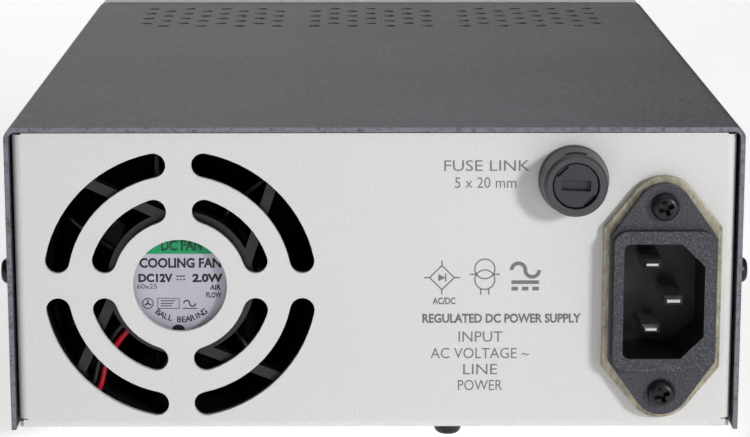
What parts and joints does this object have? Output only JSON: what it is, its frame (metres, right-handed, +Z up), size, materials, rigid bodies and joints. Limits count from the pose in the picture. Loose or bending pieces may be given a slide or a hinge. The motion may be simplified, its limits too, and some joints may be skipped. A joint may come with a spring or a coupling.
{
  "type": "bench power supply",
  "caption": "Compact benchtop DC power supply: folded metal case with vents and rear fan, mains inlet, fuse holder, display, knobs and output posts.",
  "frame": {"origin": "centre of the bounding box's base, on the surface that the feet rest on", "axes": "+Z up, the front panel faces -Y, the rear panel faces +Y, +X is the right-hand side seen from the front"},
  "size_m": [0.1582, 0.247, 0.0706],
  "materials": {
    "panel_paint": "fine satin powder coat",
    "cover_paint": "fine textured satin paint",
    "black_screw": "black oxide",
    "rubber": "matte",
    "zinc_steel": "zinc plated",
    "bezel_plastic": "fine moulded texture",
    "fascia_sheet": "fine matt polyester film",
    "window_acrylic": "polished dark acrylic",
    "display_body": "satin",
    "circuit_board": "solder mask",
    "led_lens": "diffused lens",
    "nickel": "satin nickel plate",
    "knob_plastic": "fine moulded texture",
    "button_plastic": "satin",
    "black_plastic": "moulded",
    "rocker_plastic": "satin gloss",
    "red_plastic": "satin gloss",
    "green_plastic": "satin gloss",
    "post_black": "satin gloss",
    "brass": "machined",
    "khaki_steel": "dull plated",
    "inlet_plastic": "spark-eroded texture",
    "fuse_plastic": "moulded",
    "fuse_cap_plastic": "moulded",
    "fan_plastic": "moulded",
    "label_foil": "silver foil",
    "red_wire": "PVC",
    "black_wire": "PVC",
    "brown_wire": "PVC",
    "nylon": "natural",
    "ferrite": "dull",
    "capacitor_sleeve": "shrink sleeve",
    "copper_winding": "enamelled copper",
    "heatsink_aluminium": "extruded",
    "epoxy": "moulded",
    "ribbon": "PVC"
  },
  "bodies": {
    "case": {"chassis_tray": "panel_paint", "top_cover": "cover_paint", "cover_screws": "black_screw", "feet": "rubber", "foot_screws": "zinc_steel", "front_bezel": "bezel_plastic", "bezel_screws": "zinc_steel", "fascia": "fascia_sheet", "display_window": "window_acrylic", "led_displays": "display_body", "front_board": "circuit_board", "indicator_leds": "led_lens", "encoders": "nickel", "output_switch": "black_plastic", "power_switch": "black_plastic", "red_post_base": "red_plastic", "red_post_stud": "nickel", "green_post_base": "green_plastic", "green_post_stud": "nickel", "black_post_base": "post_black", "black_post_stud": "nickel", "post_nuts": "zinc_steel", "inlet_filter": "khaki_steel", "inlet_body": "inlet_plastic", "inlet_pins": "nickel", "inlet_screws": "black_screw", "inlet_nuts": "zinc_steel", "fuse_holder": "fuse_plastic", "fuse_nut": "fuse_plastic", "fan_frame": "fan_plastic", "fan_label": "label_foil", "fan_bracket": "zinc_steel", "fan_screws": "zinc_steel", "fan_lead_red": "red_wire", "fan_lead_black": "black_wire", "main_board": "circuit_board", "standoffs": "nylon", "transformer": "ferrite", "capacitors": "capacitor_sleeve", "chokes": "copper_winding", "heatsinks": "heatsink_aluminium", "transistors": "epoxy", "mains_leads": "brown_wire", "output_leads": "red_wire", "display_cable": "ribbon"},
    "fan_rotor": {"fan_rotor": "fan_plastic"},
    "power_rocker": {"power_rocker": "rocker_plastic"},
    "voltage_control": {"voltage_shaft": "nickel", "voltage_knob": "knob_plastic"},
    "current_control": {"current_shaft": "nickel", "current_knob": "knob_plastic"},
    "output_button": {"output_button": "button_plastic"},
    "fuse_carrier": {"fuse_link": "nickel"},
    "fuse_cap": {"fuse_cap": "fuse_cap_plastic"},
    "red_cap_insert": {"red_cap_insert": "brass"},
    "red_post_cap": {"red_post_cap": "red_plastic"},
    "green_cap_insert": {"green_cap_insert": "brass"},
    "green_post_cap": {"green_post_cap": "green_plastic"},
    "black_cap_insert": {"black_cap_insert": "brass"},
    "black_post_cap": {"black_post_cap": "post_black"}
  },
  "joints": [
    {"name": "fan_spin", "type": "hinge", "parent": "case", "child": "fan_rotor", "pos_m": [0.0409, 0.106, 0.0362], "axis": [0, 1, 0], "continuous": true},
    {"name": "power_switch", "type": "hinge", "parent": "case", "child": "power_rocker", "pos_m": [-0.058, -0.1007, 0.022], "axis": [-1, 0, 0], "range_deg": [0, 20]},
    {"name": "voltage_turn", "type": "hinge", "parent": "case", "child": "voltage_control", "pos_m": [0.02, -0.1022, 0.0505], "axis": [0, -1, 0], "continuous": true},
    {"name": "current_turn", "type": "hinge", "parent": "case", "child": "current_control", "pos_m": [0.054, -0.1022, 0.0505], "axis": [0, -1, 0], "continuous": true},
    {"name": "output_press", "type": "slide", "parent": "case", "child": "output_button", "axis": [0, 1, 0], "range_m": [0, 0.0015], "stiffness_N_per_m": 800, "springref_m": -0.0008},
    {"name": "fuse_pull", "type": "slide", "parent": "case", "child": "fuse_carrier", "axis": [0, 1, 0], "range_m": [0, 0.034]},
    {"name": "fuse_turn", "type": "hinge", "parent": "fuse_carrier", "child": "fuse_cap", "pos_m": [-0.0414, 0.116, 0.0589], "axis": [0, 1, 0], "range_deg": [0, 60]},
    {"name": "red_cap_travel", "type": "slide", "parent": "case", "child": "red_cap_insert", "axis": [0, -1, 0], "range_m": [0, 0.003]},
    {"name": "red_cap_turn", "type": "hinge", "parent": "red_cap_insert", "child": "red_post_cap", "pos_m": [0.055, -0.1235, 0.022], "axis": [0, -1, 0], "range_deg": [0, 1080]},
    {"name": "green_cap_travel", "type": "slide", "parent": "case", "child": "green_cap_insert", "axis": [0, -1, 0], "range_m": [0, 0.003]},
    {"name": "green_cap_turn", "type": "hinge", "parent": "green_cap_insert", "child": "green_post_cap", "pos_m": [0.036, -0.1235, 0.022], "axis": [0, -1, 0], "range_deg": [0, 1080]},
    {"name": "black_cap_travel", "type": "slide", "parent": "case", "child": "black_cap_insert", "axis": [0, -1, 0], "range_m": [0, 0.003]},
    {"name": "black_cap_turn", "type": "hinge", "parent": "black_cap_insert", "child": "black_post_cap", "pos_m": [0.017, -0.1235, 0.022], "axis": [0, -1, 0], "range_deg": [0, 1080]}
  ],
  "couplings": [
    {"joint": "red_cap_turn", "follows": "red_cap_travel", "rad_per_m": 6283.2},
    {"joint": "green_cap_turn", "follows": "green_cap_travel", "rad_per_m": 6283.2},
    {"joint": "black_cap_turn", "follows": "black_cap_travel", "rad_per_m": 6283.2}
  ]
}
